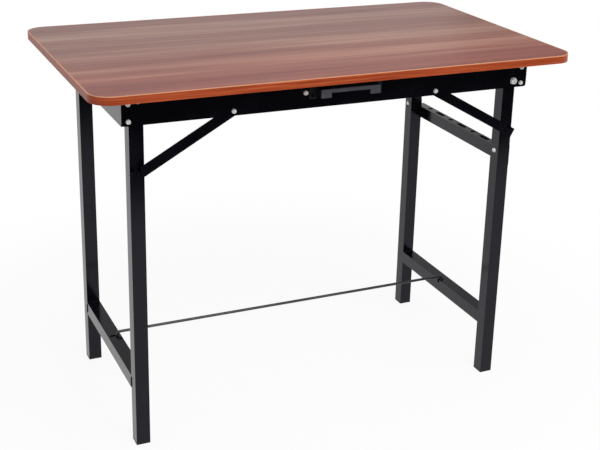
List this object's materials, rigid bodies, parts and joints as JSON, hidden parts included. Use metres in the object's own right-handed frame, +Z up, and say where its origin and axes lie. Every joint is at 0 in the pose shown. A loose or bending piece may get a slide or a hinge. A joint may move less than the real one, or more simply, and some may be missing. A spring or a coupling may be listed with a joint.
{
  "type": "folding work table",
  "caption": "Folding work table with a laminate top, square-tube end frames that fold under it, hooked front braces, a tie rod, a slotted tool rack and a carry handle.",
  "frame": {"origin": "on the floor under the middle of the top", "axes": "+X along the table towards the end with the tool rack, +Y towards the back, +Z up"},
  "size_m": [1, 0.58, 0.75],
  "materials": {
    "walnut_laminate": "satin laminate",
    "edge_band": "satin",
    "black_steel": "gloss",
    "grey_steel": "drawn, oiled",
    "zinc_steel": "zinc plated",
    "black_plastic": "satin",
    "grey_plastic": "satin"
  },
  "bodies": {
    "table": {"back_rail": "black_steel", "brace_bolts": "zinc_steel", "brace_nuts": "zinc_steel", "brace_washers": "zinc_steel", "carry_handle": "grey_plastic", "corner_bolts": "zinc_steel", "corner_nuts": "zinc_steel", "edge_band": "edge_band", "front_rail": "black_steel", "handle_feet": "black_plastic", "handle_screws": "black_steel", "left_end_rail": "black_steel", "left_pivot_bolts": "zinc_steel", "left_pivot_nuts": "zinc_steel", "left_pivot_spacers": "zinc_steel", "right_end_rail": "black_steel", "right_pivot_bolts": "zinc_steel", "right_pivot_nuts": "zinc_steel", "right_pivot_spacers": "zinc_steel", "side_bolt": "zinc_steel", "side_nut": "zinc_steel", "table_top": "walnut_laminate", "top_screws": "zinc_steel"},
    "left_frame": {"left_front_leg": "black_steel", "left_back_leg": "black_steel", "left_crossbar": "black_steel", "left_feet": "black_plastic", "left_brace_stud": "black_steel"},
    "right_frame": {"right_front_leg": "black_steel", "right_back_leg": "black_steel", "right_crossbar": "black_steel", "right_feet": "black_plastic", "right_brace_stud": "black_steel", "tool_rack": "black_steel", "rack_bolts": "zinc_steel", "rack_nuts": "zinc_steel"},
    "left_brace": {"left_brace": "black_steel"},
    "right_brace": {"right_brace": "black_steel"},
    "left_rod": {"left_tie_rod": "grey_steel"},
    "right_rod": {"right_tie_rod": "grey_steel"}
  },
  "joints": [
    {"name": "left_fold", "type": "hinge", "parent": "table", "child": "left_frame", "pos_m": [-0.401, 0, 0.7195], "axis": [0, -1, 0], "range_deg": [0, 90]},
    {"name": "right_fold", "type": "hinge", "parent": "table", "child": "right_frame", "pos_m": [0.401, 0, 0.6855], "axis": [0, 1, 0], "range_deg": [0, 90]},
    {"name": "left_brace_swing", "type": "hinge", "parent": "table", "child": "left_brace", "pos_m": [-0.216, -0.215, 0.6805], "axis": [0, -1, 0], "range_deg": [0, 150.64]},
    {"name": "right_brace_swing", "type": "hinge", "parent": "table", "child": "right_brace", "pos_m": [0.216, -0.211, 0.6805], "axis": [0, 1, 0], "range_deg": [0, 150.64]},
    {"name": "left_rod_lift", "type": "slide", "parent": "table", "child": "left_rod", "axis": [0, 0, 1], "range_m": [0, 0.5715]},
    {"name": "right_rod_turn", "type": "hinge", "parent": "right_frame", "child": "right_rod", "pos_m": [0.396, 0, 0.151], "axis": [0, 1, 0], "range_deg": [0, 90.1]}
  ],
  "couplings": [
    {"joint": "left_brace_swing", "follows": "left_fold", "ratio": 1.6727},
    {"joint": "right_brace_swing", "follows": "right_fold", "ratio": 1.6727},
    {"joint": "left_rod_lift", "follows": "left_fold", "m_per_rad": 0.36351},
    {"joint": "right_rod_turn", "follows": "right_fold", "ratio": 1}
  ]
}
